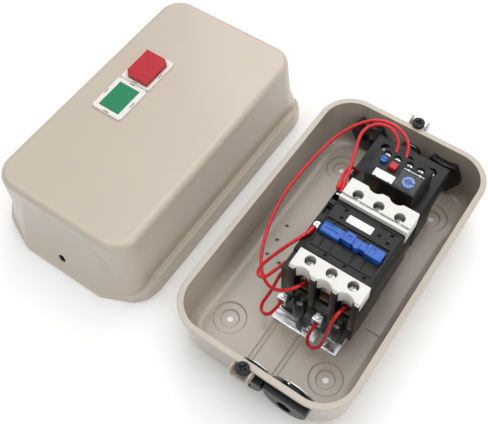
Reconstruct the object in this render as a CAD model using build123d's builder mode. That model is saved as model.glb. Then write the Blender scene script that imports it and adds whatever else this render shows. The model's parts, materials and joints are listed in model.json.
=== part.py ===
from build123d import *
from math import pi, radians, tan
import os

os.makedirs("parts", exist_ok=True)

# Frame: origin on the wall plane at the centre of the four wall screw holes, +Z out of
# the wall, +Y along the enclosure's long side, +X across it. All sizes in millimetres.

# Enclosure tray: a drawn steel dish with a turned-out lip
SHEET = 1.2
TRAY_DEPTH = 70.0
FLOOR_TOP = 5.0
WALL_X = 90.0
WALL_Y = 152.5
WALL_CORNER = 33.0
BASE_FILLET = 13.0
LIP_X = 95.0
LIP_Y = 157.5
LIP_THICK = 2.2
WALL_HOLE_X = 56.5
WALL_HOLE_Y = 107.5
WALL_HOLE_R = 3.25
PAD_R = 17.5
CHANNELS = (-15.0, 14.0)
CHANNEL_R = 4.0
CHANNEL_Z = FLOOR_TOP + 2.2
SPARE_HOLES = [(-67.0, 11.5), (-66.2, -8.5), (-65.6, -28.0), (-49.4, -30.0)]
PLATE_SCREWS = [(14.5, -78.0), (-12.0, 38.5), (42.0, 38.5)]

# Cable seals at the near end: (x, height, bore, neck, block radius, block centre, flat top)
NEAR_SEALS = {
    "grommet_near_middle": (3.0, 44.0, 5.5, 10.5, 17.0, 50.0, 57.0),
    "grommet_near_right": (44.0, 44.0, 7.5, 13.0, 22.8, 53.8, 60.0),
}
# Cable seals at the far end: (x, height, bore, neck, half width, foot, waist, top)
FAR_SEALS = {
    "grommet_far_left": (-45.0, 32.0, 7.5, 17.0, 22.5, 11.0, 35.0, 57.0),
    "grommet_far_middle": (3.0, 37.0, 5.5, 10.5, 15.0, 19.0, 37.0, 51.0),
    "grommet_far_right": (43.0, 32.0, 7.5, 17.0, 22.5, 11.0, 35.0, 57.0),
}
# Round zinc plates behind the seals: x, height and radius
SEAL_PLATES = {
    "grommet_near_middle": (3.5, 42.0, 15.3),
    "grommet_near_right": (44.0, 41.0, 24.2),
    "grommet_far_left": (-45.0, 32.0, 20.0),
    "grommet_far_middle": (3.0, 37.0, 12.4),
    "grommet_far_right": (43.0, 32.0, 20.0),
}
SEAL_PLATE = 1.0
NEAR_PLATE_IN = 144.6
FAR_PLATE_IN = 147.6
NEAR_FLANGE_OUT = 148.4
SEAL_DEEP = 7.0
SEAL_OUT = 162.0

# Channels under the lip that hold the lid screws
POST_Y = 160.5
POST_TOP = 74.0
BRACKET_Z = 60.0

# Contactor: 80 wide body on a 75 wide plate, three poles 22 apart
PLATE_X = (-22.5, 52.5)
PLATE_Y = (-84.0, 43.0)
PLATE_TOP = FLOOR_TOP + 2.0
BODY_X = (-20.0, 60.0)
BODY_Y = (-70.0, 36.0)
SPLIT_Z = 50.0
SEAT_Z = 98.0
FACE_Z = 112.0
COVER_TOP = 117.0
POLES = (3.0, 25.0, 47.0)
NEAR_SCREW_Y = -58.7
FAR_SCREW_Y = 23.0
FACE_Y = (-51.7, 12.0)
STRIP_TOP = 102.0
COIL_SCREWS = (-17.0, 20.5)
HEAD_Z = (103.0, 108.0)
CAGE_Z = (72.0, 92.0)
ROOM_HALF = 8.5
DIVIDER_X = (-7.7, 14.2, 36.0, 57.3)
DIVIDER_TOP = 113.0
CLAMPS = (-14.0, 25.5)
CLAMP_Y = (-79.0, -69.0)
CLAMP_Z = (38.0, 49.8)
BOSSES = (3.0, 44.0)

# White finger guards over the power terminals
GUARD_X = (-11.0, 60.5)
GUARD_WALL = 1.5
GUARD_ROOF = 2.5
GUARD_ROOMS = [(-9.5, 13.2), (14.8, 35.2), (36.8, 59.0)]

# Magnet: the fixed core, the coil and the armature above them
CORE_X = 20.0
CORE_Y = -20.5
CORE_DEEP = 20.0
CORE_HALF = 24.0
LEG_HALF = 4.0
MID_LEG_HALF = 7.0
FIXED_BASE = (10.0, 20.0)
FIXED_TOP = 44.0
COIL_Z = (21.0, 46.0)
SPRING_X = (CORE_X - 11.5, CORE_X + 11.5)
GAP = 6.0
TRAVEL = 5.0
CLOSED_CLEARANCE = 0.1

# Contacts: fixed tips on the terminal bars, moving tips under the bridges
CONTACT_Z = (75.5, 77.5)
FIXED_TIP_TOP = 79.4
MOVING_TIP_LOW = FIXED_TIP_TOP + TRAVEL + CLOSED_CLEARANCE
MOVING_BAR = (MOVING_TIP_LOW + 1.5, MOVING_TIP_LOW + 3.5)
CARRIER_BASE = (FIXED_TOP + GAP + 20, FIXED_TOP + GAP + 25)
BRIDGE_HALF = 19.0
BRIDGE_ROOM_TOP = 97.0
TAB_Z = (CONTACT_Z[1], CONTACT_Z[1] + 1.6)

# Overload relay, plugged into the contactor's far terminals
RELAY_X = (-26.0, 55.0)
RELAY_Y = (62.0, 124.0)
RELAY_STEP_Y = 98.0
RELAY_Z = (8.0, 75.0)
HEAD_X = (-6.0, 46.0)
HEAD_Y = (51.0, 98.0)
HEAD_TOP = 113.0
STRIPS = (3.0, 22.0, 41.0)
AUX_TOP = 98.0
LOAD_X = (-13.0, 14.0, 41.0)
LOAD_Y = 112.0
AUX_X = (-1.5, 9.5, 23.0, 35.0)
WIRE_EXITS = (3.0, 15.0)
SHOULDER_HOLE = (-22.6, 70.0)
AUX_Y = 91.0
DIAL_AT = (34.5, 62.5)
DIAL_R = 6.5
WINDOW_X = (24.0, 45.0)
WINDOW_Y = (52.0, 73.0)
WINDOW_TALL = 4.5
WINDOW_PIN_Z = HEAD_TOP + 1.5

# Enclosure cover, standing on its open rim beside the tray
COVER_AT = (-232.0, 4.0)
COVER_TALL = 94.5
COVER_TOP_X = 84.0
COVER_TOP_Y = 148.5
COVER_FOOT_X = 90.0
COVER_FOOT_Y = 150.5
COVER_CORNER = 26.0
COVER_EDGE = 8.0
SKIRT_X = 97.0
SKIRT_TALL = 22.0
NOSE_Y = 167.0
NOSE_LIP = 6.0
NOSE_ROUND = 14.0
SKIRT_ROUND = 3.0
LID_HOLE_Z = 22.0
LID_HOLE_Y = 160.8
LID_HOLE_R = 4.7
# The sloped nose at each end of the cover, rising from its lip:
# (height, reach, front half width, corner x, corner y, side x)
NOSE_LEVELS = [
    (6.0, 167.0, 50.0, 84.0, 152.0, 92.0),
    (22.0, 160.8, 51.0, 82.0, 148.0, 88.0),
    (42.0, 155.2, 52.0, 78.0, 145.0, 84.0),
    (64.0, 150.9, 50.0, 72.0, 141.0, 78.0),
    (90.0, 146.8, 44.0, 62.0, 136.0, 70.0),
]

# Push buttons in the cover; a cap is (x size, y size, proud height, corner cut)
BEZEL_X = 38.5
BEZEL_Y = 46.0
BEZEL_THICK = 2.5
BEZEL_CORNER = 4.0
BUTTON_X = COVER_AT[0] - 36.5
STOP_Y = COVER_AT[1] + 40.7
START_Y = COVER_AT[1] - 5.7
STOP_CAP = (29.5, 38.5, 5.0, 5.0)
START_CAP = (25.5, 34.5, 0.2, 0.6)
CAP_GAP = 0.4
COLLAR_DEEP = 16.0
COLLAR_WALL = 1.6
ROD_R = 4.0
SPRING_TALL = 9.0

# Control wires: copper in a red sheath
WIRE_R = 1.7


def block(low, high, mode=Mode.ADD):
    """A box between two opposite corners."""
    size = [abs(b - a) for a, b in zip(low, high)]
    middle = tuple((a + b) / 2 for a, b in zip(low, high))
    with Locations(middle):
        Box(*size, mode=mode)


def drum(middle, radius, length, axis="Z", mode=Mode.ADD):
    """A cylinder about its middle point, along one axis."""
    turn = {"X": (0, 90, 0), "Y": (90, 0, 0), "Z": (0, 0, 0)}[axis]
    with Locations(middle):
        Cylinder(radius, length, rotation=turn, mode=mode)


def standing_drum(x, y, low, high, radius, mode=Mode.ADD):
    """A cylinder along Z between two heights."""
    drum((x, y, (low + high) / 2), radius, high - low, "Z", mode)


def cross_slot(x, y, top, length=5.0, width=1.2, deep=1.5):
    """The cross recess in a screw's head."""
    for dx, dy in ((length, width), (width, length)):
        low = (x - dx / 2, y - dy / 2, top - deep)
        block(low, (x + dx / 2, y + dy / 2, top + 1), Mode.SUBTRACT)


# ---------------------------------------------------------------- enclosure tray

def wall_pad():
    """The two-step dish pressed into the floor round one wall screw hole."""
    step = (FLOOR_TOP - SHEET) / 2
    upper = FLOOR_TOP - step
    with BuildPart() as pad:
        with BuildSketch(Plane.XZ):
            with BuildLine():
                Polyline(
                    (WALL_HOLE_R, 0), (9.4, 0), (10.7, step), (16.4, step),
                    (PAD_R, FLOOR_TOP - SHEET), (PAD_R, FLOOR_TOP), (16.0, upper),
                    (10.0, upper), (8.7, SHEET), (WALL_HOLE_R, SHEET), close=True)
            make_face()
        revolve(axis=Axis.Z)
    return pad.part


def tray_hollow():
    """The space inside the tray's sheet."""
    with BuildPart() as hollow:
        with BuildSketch(Plane.XY.offset(FLOOR_TOP)):
            RectangleRounded(2 * (WALL_X - SHEET), 2 * (WALL_Y - SHEET), WALL_CORNER - SHEET)
        extrude(amount=TRAY_DEPTH)
        fillet(hollow.faces().sort_by(Axis.Z)[0].edges(), BASE_FILLET - SHEET)
    return hollow.part


def tray_shell():
    """Drawn tray with lip, wall pads, cable holes and device holes."""
    pad = wall_pad()
    hollow = tray_hollow()
    with BuildPart() as tray:
        with BuildSketch(Plane.XY.offset(FLOOR_TOP - SHEET)):
            RectangleRounded(2 * WALL_X, 2 * WALL_Y, WALL_CORNER)
        extrude(amount=TRAY_DEPTH - FLOOR_TOP + SHEET)
        fillet(tray.faces().sort_by(Axis.Z)[0].edges(), BASE_FILLET)
        with BuildSketch(Plane.XY.offset(TRAY_DEPTH - LIP_THICK)):
            RectangleRounded(2 * LIP_X, 2 * LIP_Y, WALL_CORNER + LIP_X - WALL_X)
        extrude(amount=LIP_THICK)
        fillet(tray.faces().sort_by(Axis.Z)[-1].edges(), LIP_THICK / 2 - 0.1)
        for x in CHANNELS:
            drum((x, -109, CHANNEL_Z), CHANNEL_R + SHEET, 60, "Y")
        add(hollow, mode=Mode.SUBTRACT)
        for x in (-WALL_HOLE_X, WALL_HOLE_X):
            for y in (-WALL_HOLE_Y, WALL_HOLE_Y):
                standing_drum(x, y, 0, FLOOR_TOP + 1, PAD_R, Mode.SUBTRACT)
                with Locations((x, y, 0)):
                    add(pad)
        for seals, side in ((NEAR_SEALS, -1), (FAR_SEALS, 1)):
            for x, z, _, neck, *_ in seals.values():
                drum((x, side * WALL_Y, z), neck + 0.2, 8, "Y", Mode.SUBTRACT)
        for x, y in SPARE_HOLES + PLATE_SCREWS:
            standing_drum(x, y, 0, FLOOR_TOP + 1, 2.1, Mode.SUBTRACT)
        for x in CHANNELS:
            drum((x, -109, CHANNEL_Z), CHANNEL_R, 57.6, "Y", Mode.SUBTRACT)
        block((62, -42, FLOOR_TOP - 0.4), (78, -27, FLOOR_TOP + 1.4))
    return tray


def lid_brackets():
    """Two channels welded under the lip, each holding a lid screw between its ears."""
    near = WALL_Y + 0.05
    far = POST_Y + 8
    with BuildPart() as brackets:
        for side in (-1, 1):
            block((-10, side * near, BRACKET_Z), (10, side * far, BRACKET_Z + 1.5))
            block((-10, side * WALL_Y, BRACKET_Z), (10, side * (near + 1.5), BRACKET_Z + 7))
            for x in (-10, 8.5):
                low = (x, side * (LIP_Y + 0.6), BRACKET_Z)
                block(low, (x + 1.5, side * far, POST_TOP + 1))
            standing_drum(0, side * POST_Y, BRACKET_Z - 1, BRACKET_Z + 3, 2.9, Mode.SUBTRACT)
        chamfer(brackets.edges().filter_by(Axis.X).group_by(Axis.Z)[-1], 3.5)
    return brackets


def lid_screws():
    """The two black screws that hold the lid down, parked in their channels."""
    with BuildPart() as screws:
        for y in (-POST_Y, POST_Y):
            standing_drum(0, y, BRACKET_Z - 1, POST_TOP - 3.8, 2.9)
            standing_drum(0, y, POST_TOP - 3.8, POST_TOP, 6.5)
            fillet(screws.faces().sort_by(Axis.Z)[-1].edges(), 0.8)
            cross_slot(0, y, POST_TOP, 7.5, 1.6, 2.2)
    return screws


def near_seal(name):
    """A rubber cable seal: a D-shaped block under the lip, a neck and a flange inside the wall."""
    x, z, bore, neck, radius, centre, top = NEAR_SEALS[name]
    washer = NEAR_PLATE_IN + SEAL_PLATE
    with BuildPart() as seal:
        drum((x, -(WALL_Y + SEAL_OUT) / 2, centre), radius, SEAL_OUT - WALL_Y, "Y")
        fillet(seal.faces().sort_by(Axis.Y)[0].edges(), 1.0)
        block((x - 30, -SEAL_OUT - 1, top), (x + 30, -WALL_Y + 1, top + 30), Mode.SUBTRACT)
        drum((x, -(NEAR_PLATE_IN + WALL_Y) / 2 - 0.5, z), neck, WALL_Y - NEAR_PLATE_IN + 1, "Y")
        drum((x, -(washer + NEAR_FLANGE_OUT) / 2, z), neck + 1.5, NEAR_FLANGE_OUT - washer, "Y")
        drum((x, -155, z), bore, 30, "Y", Mode.SUBTRACT)
    return seal


def far_seal(name):
    """A rubber cable seal: a flange outside, a neck, and a six-sided block with a scooped top."""
    x, z, bore, neck, half, foot, waist, top = FAR_SEALS[name]
    corner = 0.58 * half
    sag = 0.14 * half
    scoop_r = (corner ** 2 + sag ** 2) / (2 * sag)
    inner = FAR_PLATE_IN - SEAL_DEEP
    with BuildPart() as seal:
        with BuildSketch(Plane.XZ.offset(-FAR_PLATE_IN)):
            with BuildLine():
                Polyline((x - half / 2, foot), (x + half / 2, foot), (x + half, waist),
                         (x + corner, top), (x - corner, top), (x - half, waist), close=True)
            make_face()
        extrude(amount=SEAL_DEEP)
        drum((x, FAR_PLATE_IN, top + scoop_r - sag), scoop_r, 20, "Y", Mode.SUBTRACT)
        drum((x, (FAR_PLATE_IN + WALL_Y) / 2 + 0.5, z), neck, WALL_Y - FAR_PLATE_IN + 1, "Y")
        drum((x, WALL_Y + 2.5, z), neck + 5, 5, "Y")
        fillet(seal.faces().sort_by(Axis.Y)[-1].edges(), 1.5)
        drum((x, inner + 10, z), bore, 30, "Y", Mode.SUBTRACT)
    return seal


def seal_plates():
    """Round zinc plates that each seal's neck passes through, inside the wall; one is notched."""
    with BuildPart() as plates:
        for name, (x, z, radius) in SEAL_PLATES.items():
            near = name in NEAR_SEALS
            seal_x, seal_z, _, neck, *_ = (NEAR_SEALS if near else FAR_SEALS)[name]
            offset = NEAR_PLATE_IN if near else -FAR_PLATE_IN - SEAL_PLATE
            with BuildSketch(Plane.XZ.offset(offset)):
                with Locations((x, z)):
                    Circle(radius)
                with Locations((seal_x, seal_z)):
                    Circle(neck, mode=Mode.SUBTRACT)
            extrude(amount=SEAL_PLATE)
        block((37.5, -150, 58), (39.5, -140, 80), Mode.SUBTRACT)
    return plates


# ---------------------------------------------------------------- contactor

def base_plate():
    """Zinc mounting plate with a screw tab at one corner."""
    with BuildPart() as plate:
        block((PLATE_X[0], PLATE_Y[0], FLOOR_TOP), (PLATE_X[1], PLATE_Y[1], PLATE_TOP))
        block((27, PLATE_Y[0] - 1, 0), (33.5, -72.5, 20), Mode.SUBTRACT)
        standing_drum(44.6, -76.8, 0, 20, 3.1, Mode.SUBTRACT)
        for x, y in PLATE_SCREWS:
            standing_drum(x, y, 0, 20, 2.3, Mode.SUBTRACT)
        corners = plate.edges().filter_by(Axis.Z).filter_by(lambda e: e.length < 3)
        fillet(corners.sort_by(Axis.X)[:2], 3.0)
    return plate


def rail_clip():
    """Zinc spring catch that hooks the plate on a mounting rail."""
    with BuildPart() as clip:
        block((-21, -78.5, PLATE_TOP), (3, -72.0, PLATE_TOP + 1))
        for y in (-78.5, -73.5):
            block((-21, y, PLATE_TOP + 1), (3, y + 1.5, PLATE_TOP + 5))
    return clip


def plate_screws():
    """Hex screws that hold the contactor plate to the tray floor."""
    with BuildPart() as screws:
        for x, y in PLATE_SCREWS:
            with BuildSketch(Plane.XY.offset(PLATE_TOP)):
                with Locations((x, y)):
                    RegularPolygon(4.2, 6)
            extrude(amount=3.0)
            standing_drum(x, y, FLOOR_TOP - 3, PLATE_TOP, 2.0)
            cross_slot(x, y, PLATE_TOP + 3.0)
    return screws


def lower_housing():
    """The black half that holds the fixed core and the coil."""
    near, far = BODY_Y[0] - 1, BODY_Y[1] - 2
    with BuildPart() as housing:
        block((BODY_X[0] + 1, near, PLATE_TOP), (PLATE_X[1] - 0.5, far, SPLIT_Z))
        block((PLATE_X[1] - 0.5, -50, PLATE_TOP + 1), (57, -6, 30))
        block((PLATE_X[1] - 0.5, near, 30), (BODY_X[1] - 1, far, SPLIT_Z))
        block((-8, -54, PLATE_TOP + 2), (48, 14, SPLIT_Z + 1), Mode.SUBTRACT)
        for x in CLAMPS:
            block((x - 6, near - 1, CLAMP_Z[0]), (x + 6, CLAMP_Y[1], SPLIT_Z + 1), Mode.SUBTRACT)
        for x in BOSSES:
            standing_drum(x, near - 2.5, 28, SPLIT_Z + 5, 6.0)
            standing_drum(x, near - 2.5, SPLIT_Z - 5, SPLIT_Z + 6, 4.2, Mode.SUBTRACT)
            block((x - 9, near + 0.05, SPLIT_Z), (x + 9, near + 6, SPLIT_Z + 6), Mode.SUBTRACT)
    return housing


def boss_screws():
    """Cross-head screws down in the two bosses."""
    with BuildPart() as screws:
        for x in BOSSES:
            y = BODY_Y[0] - 3.5
            standing_drum(x, y, SPLIT_Z - 5, SPLIT_Z - 1, 3.9)
            cross_slot(x, y, SPLIT_Z - 1, 5.0, 1.3)
    return screws


def clamp_terminals():
    """Zinc box clamps low on the near face, each with its screw."""
    with BuildPart() as clamps:
        for x in CLAMPS:
            block((x - 5, CLAMP_Y[0], CLAMP_Z[0]), (x + 5, CLAMP_Y[1], CLAMP_Z[1]))
            block((x - 3.2, CLAMP_Y[0] - 1, CLAMP_Z[0] + 2), (x + 3.2, -71.5, CLAMP_Z[1] - 3), Mode.SUBTRACT)
            standing_drum(x, -74, CLAMP_Z[1] - 3, CLAMP_Z[1] + 2.5, 3.4)
            block((x - 4, -74.6, CLAMP_Z[1] + 1.3), (x + 4, -73.4, CLAMP_Z[1] + 4), Mode.SUBTRACT)
    return clamps


def e_core(back_low, back_high, leg_end):
    """An E-shaped iron block: a back and three legs that reach to leg_end."""
    y0, y1 = CORE_Y - CORE_DEEP / 2, CORE_Y + CORE_DEEP / 2
    low, high = min(back_low, leg_end), max(back_high, leg_end)
    with BuildPart() as core:
        block((CORE_X - CORE_HALF, y0, back_low), (CORE_X + CORE_HALF, y1, back_high))
        for x, half in ((CORE_X - CORE_HALF + LEG_HALF, LEG_HALF), (CORE_X, MID_LEG_HALF),
                        (CORE_X + CORE_HALF - LEG_HALF, LEG_HALF)):
            block((x - half, y0, low), (x + half, y1, high))
    return core


def fixed_core():
    """Laminated iron under the coil."""
    return e_core(FIXED_BASE[0], FIXED_BASE[1], FIXED_TOP)


def armature():
    """Laminated iron that the coil pulls down."""
    pole_face = FIXED_TOP + GAP
    return e_core(pole_face + 10, pole_face + 20, pole_face)


def shading_rings():
    """Copper bands let into the two outer pole faces."""
    with BuildPart() as rings:
        for x in (CORE_X - CORE_HALF + LEG_HALF, CORE_X + CORE_HALF - LEG_HALF):
            outer = LEG_HALF + 0.9
            y0, y1 = CORE_Y - CORE_DEEP / 2, CORE_Y + CORE_DEEP / 2
            block((x - outer, y0 - 0.9, FIXED_TOP - 4), (x + outer, y1 + 0.9, FIXED_TOP - 2))
            block((x - LEG_HALF, y0, FIXED_TOP - 5), (x + LEG_HALF, y1, FIXED_TOP), Mode.SUBTRACT)
    return rings


def coil_bobbin():
    """Moulded former round the middle leg."""
    hole_x, hole_y = MID_LEG_HALF + 0.5, CORE_DEEP / 2 + 0.5
    x0, x1 = CORE_X - 15, CORE_X + 15
    y0, y1 = CORE_Y - 22, CORE_Y + 22
    low, high = COIL_Z
    with BuildPart() as bobbin:
        block((x0, y0, low), (x1, y1, low + 2))
        block((x0, y0, high - 2), (x1, y1, high))
        wall_x, wall_y = hole_x + 1.5, hole_y + 1.5
        block((CORE_X - wall_x, CORE_Y - wall_y, low), (CORE_X + wall_x, CORE_Y + wall_y, high))
        corner = (CORE_X + hole_x, CORE_Y + hole_y, high + 1)
        block((CORE_X - hole_x, CORE_Y - hole_y, low - 1), corner, Mode.SUBTRACT)
    return bobbin


def coil_winding():
    """Copper wire wound on the bobbin, as one solid."""
    inner_x, inner_y = MID_LEG_HALF + 2.0, CORE_DEEP / 2 + 2.0
    low, high = COIL_Z[0] + 2, COIL_Z[1] - 2
    with BuildPart() as winding:
        with BuildSketch(Plane.XY.offset(low)):
            with Locations((CORE_X, CORE_Y)):
                RectangleRounded(27, 41, 4)
                Rectangle(2 * inner_x, 2 * inner_y, mode=Mode.SUBTRACT)
        extrude(amount=high - low)
    return winding


def tube(x, y, low, high, outer, inner):
    """A round sleeve standing between two heights."""
    standing_drum(x, y, low, high, outer)
    standing_drum(x, y, low - 1, high + 1, inner, Mode.SUBTRACT)


def return_springs():
    """Two coil springs that push the armature away from the coil."""
    with BuildPart() as springs:
        for x in SPRING_X:
            tube(x, CORE_Y, COIL_Z[1], FIXED_TOP + GAP + 10, 3.3, 2.4)
    return springs


def contact_carrier():
    """Blue moulding that ties the armature to the three contact bridges."""
    y0, y1 = CORE_Y - 3, CORE_Y + 3
    with BuildPart() as carrier:
        block((CORE_X - 22, CORE_Y - 9, CARRIER_BASE[0]), (CORE_X + 22, CORE_Y + 9, CARRIER_BASE[1]))
        block((-4, y0, CARRIER_BASE[1]), (54, y1, 108))
        block((-8, CORE_Y - 6, 106), (12, CORE_Y + 5, COVER_TOP - 2.5))
        block((12, CORE_Y - 4, 106), (38, CORE_Y + 4, COVER_TOP - 0.5))
        block((15.5, CORE_Y - 5, 106), (24.5, CORE_Y + 5.5, COVER_TOP + 1.2))
        block((26.5, CORE_Y - 6, 106), (31.5, CORE_Y + 2, COVER_TOP + 0.6))
        block((38, CORE_Y - 5.5, 106), (54.5, CORE_Y + 5.5, COVER_TOP))
        for x in POLES:
            block((x - 5.2, y0 - 1, MOVING_TIP_LOW - 2), (x + 5.2, y1 + 1, BRIDGE_ROOM_TOP), Mode.SUBTRACT)
        block((18, CORE_Y - 2, COVER_TOP), (22, CORE_Y + 2.5, COVER_TOP + 2), Mode.SUBTRACT)
        block((41, CORE_Y - 3.5, COVER_TOP - 0.8), (46, CORE_Y + 3.5, COVER_TOP + 1), Mode.SUBTRACT)
        block((-5, CORE_Y - 1, COVER_TOP - 3.5), (9, CORE_Y - 0.2, COVER_TOP), Mode.SUBTRACT)
    return carrier


def contact_bridges():
    """Three copper bridges with tips under both ends."""
    reach = BRIDGE_HALF + 3
    low, high = MOVING_BAR
    with BuildPart() as bridges:
        for x in POLES:
            block((x - 4.5, CORE_Y - reach, low), (x + 4.5, CORE_Y + reach, high))
            for y in (CORE_Y - BRIDGE_HALF, CORE_Y + BRIDGE_HALF):
                standing_drum(x, y, MOVING_TIP_LOW, MOVING_BAR[0], 2.8)
    return bridges


def contact_springs():
    """Springs that press each bridge down in its window."""
    with BuildPart() as springs:
        for x in POLES:
            tube(x, CORE_Y, MOVING_BAR[1], BRIDGE_ROOM_TOP, 2.7, 1.9)
    return springs


def terminal_bars(reach_y, side):
    """Three copper terminal bars from a fixed contact tip out to a terminal screw."""
    tip_y = CORE_Y + side * BRIDGE_HALF
    inner, outer = sorted((tip_y - side * 3.5, reach_y))
    with BuildPart() as bars:
        for x in POLES:
            block((x - 4.5, inner, CONTACT_Z[0]), (x + 4.5, outer, CONTACT_Z[1]))
            standing_drum(x, tip_y, CONTACT_Z[1], FIXED_TIP_TOP, 2.8)
    return bars


def terminal_cages():
    """Six zinc box clamps round the terminal bars, each threaded for its screw."""
    with BuildPart() as cages:
        for y in (NEAR_SCREW_Y, FAR_SCREW_Y):
            for x in POLES:
                block((x - 6, y - 5.5, CAGE_Z[0]), (x + 6, y + 5.5, CAGE_Z[1]))
                block((x - 5, y - 6, CONTACT_Z[0]), (x + 5, y + 6, CAGE_Z[1] - 6), Mode.SUBTRACT)
                standing_drum(x, y, CAGE_Z[1] - 7, CAGE_Z[1] + 1, 2.8, Mode.SUBTRACT)
    return cages


def power_screws():
    """Six cross-head terminal screws; the far ones press on the relay's tabs."""
    with BuildPart() as screws:
        for y, tip in ((NEAR_SCREW_Y, CONTACT_Z[1] + 6.5), (FAR_SCREW_Y, TAB_Z[1])):
            for x in POLES:
                standing_drum(x, y, tip, HEAD_Z[0], 2.8)
                standing_drum(x, y, HEAD_Z[0], HEAD_Z[1], 4.4)
                cross_slot(x, y, HEAD_Z[1], 6.0, 1.3, 2.0)
    return screws


def upper_housing():
    """The black half that guides the carrier and holds the terminals."""
    near, far = BODY_Y
    with BuildPart() as housing:
        block((BODY_X[0], near, SPLIT_Z), (BODY_X[1], far, SEAT_Z))
        block((-11, FACE_Y[0], SEAT_Z), (BODY_X[1], FACE_Y[1], FACE_Z))
        chamfer(housing.edges().filter_by(Axis.Y).group_by(Axis.Z)[-1].sort_by(Axis.X)[-1], 1.6)
        block((BODY_X[0], -50, SEAT_Z), (-11, 30, STRIP_TOP))
        block((BODY_X[0] + 1, 7.5, STRIP_TOP), (-12.5, 13, STRIP_TOP + 3))
        block((-18.5, -4, STRIP_TOP - 4), (-12.5, 6, STRIP_TOP + 1), Mode.SUBTRACT)
        block((-8, -46, SPLIT_Z - 1), (57, 5, 100), Mode.SUBTRACT)
        block((-9, CORE_Y - 6.2, 99), (55.5, CORE_Y + 6.2, FACE_Z + 1), Mode.SUBTRACT)
        block((-9, -40, FACE_Z - 2), (55.5, -9, FACE_Z + 1), Mode.SUBTRACT)
        for x in POLES:
            for y0, y1 in ((near - 1, -45), (4, far + 1)):
                low, high = (x - ROOM_HALF, y0, CAGE_Z[0]), (x + ROOM_HALF, y1, SEAT_Z + 1)
                block(low, high, Mode.SUBTRACT)
        for x in POLES:
            block((x - ROOM_HALF, FACE_Y[0], SEAT_Z), (x + ROOM_HALF, -44, 99))
            block((x - ROOM_HALF, 3, SEAT_Z), (x + ROOM_HALF, FACE_Y[1], 99))
            for y0, y1 in ((-51, -47), (9, 14)):
                block((x - 5, y0, CAGE_Z[0] - 1), (x + 5, y1, CONTACT_Z[0]))
        for x in DIVIDER_X:
            block((x - 3.2, near - 3.3, SPLIT_Z + 8), (x + 3.2, near + 1, DIVIDER_TOP))
        for y in COIL_SCREWS:
            standing_drum(-15.5, y, STRIP_TOP - 3.5, STRIP_TOP + 1, 4.4, Mode.SUBTRACT)
        block((BODY_X[0] - 1, -66, 76), (BODY_X[0] + 4, -52, 91), Mode.SUBTRACT)
        face_detail()
    return housing


def face_detail():
    """Ribs in the recess round the carrier, and small square holes and grooves in the face."""
    for x in (-1.5, 9.5, 30.5, 41.5):
        for y0, y1 in ((-40, -28.5), (-12.5, -9)):
            block((x, y0, FACE_Z - 2.2), (x + 1.2, y1, FACE_Z - 0.4))
    for x, y in ((2, -4), (40, -1), (50, -4), (2, 5), (50, 5), (10, -45), (30, -45), (50, -45)):
        block((x - 1.5, y - 1.5, FACE_Z - 2), (x + 1.5, y + 1.5, FACE_Z + 1), Mode.SUBTRACT)
    for x0, x1, y in ((-9, 55, -42), (-9, 4, 8), (36, 55, 8)):
        block((x0, y - 0.5, FACE_Z - 1), (x1, y + 0.5, FACE_Z + 1), Mode.SUBTRACT)


def small_terminal_screws():
    """Small screws: two on the coil's terminal strip and four on the relay's auxiliary step."""
    with BuildPart() as screws:
        places = [(-15.5, y, STRIP_TOP - 3.5) for y in COIL_SCREWS]
        places += [(x, AUX_Y, AUX_TOP - 6.5) for x in AUX_X]
        for x, y, seat in places:
            standing_drum(x, y, seat, seat + 3.5, 3.6)
            cross_slot(x, y, seat + 3.5, 5.0)
    return screws


def near_terminal_cover():
    """White finger guard over the near terminals: a thin shell, scooped and arched at each pole."""
    x0, x1 = GUARD_X
    edge = FACE_Y[0] - 0.1
    with BuildPart() as guard:
        with BuildSketch(Plane.YZ.offset(x0)):
            with BuildLine():
                Polyline((edge, SEAT_Z), (edge, COVER_TOP), (-70.4, COVER_TOP), (-72.8, 112),
                         (-72.8, 84.5), (-70.5, 84.5), (-70.5, SEAT_Z), close=True)
            make_face()
        extrude(amount=x1 - x0)
        for low_x, high_x in GUARD_ROOMS:
            low, high = (low_x, -65.5, SEAT_Z - 1), (high_x, edge - GUARD_WALL, COVER_TOP - GUARD_ROOF)
            block(low, high, Mode.SUBTRACT)
        for x in POLES:
            standing_drum(x, NEAR_SCREW_Y, COVER_TOP - 5, COVER_TOP + 1, 5.3, Mode.SUBTRACT)
            standing_drum(x, -78.5, 84, COVER_TOP + 1, 11.2, Mode.SUBTRACT)
            drum((x + 1.5, -70, 94.5), 7.2, 14, "Y", Mode.SUBTRACT)
            block((x - 5.7, -80, 82), (x + 8.7, -63, 94.5), Mode.SUBTRACT)
        for x in DIVIDER_X:
            block((x - 3.4, -79, 80), (x + 3.4, -68.8, DIVIDER_TOP + 0.2), Mode.SUBTRACT)
    return guard


def far_terminal_cover():
    """White finger guard over the far terminals: a thin shell with a groove and a scalloped edge."""
    with BuildPart() as guard:
        block((GUARD_X[0], 12.5, SEAT_Z), (GUARD_X[1], 36.5, COVER_TOP))
        block((-12, 15.8, COVER_TOP - 3), (61, 18.2, COVER_TOP + 1), Mode.SUBTRACT)
        for low_x, high_x in GUARD_ROOMS:
            low, high = (low_x, 18.0, SEAT_Z - 1), (high_x, 29.5, COVER_TOP - GUARD_ROOF)
            block(low, high, Mode.SUBTRACT)
        for x in POLES:
            standing_drum(x, FAR_SCREW_Y, COVER_TOP - 5, COVER_TOP + 1, 5.3, Mode.SUBTRACT)
        for x in (14, 36):
            standing_drum(x, 42.5, SEAT_Z - 1, COVER_TOP + 1, 9.5, Mode.SUBTRACT)
        crests = guard.edges().filter_by(Axis.Z).filter_by(lambda e: e.center().Y > 33)
        fillet(crests, 1.4)
    return guard


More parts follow.
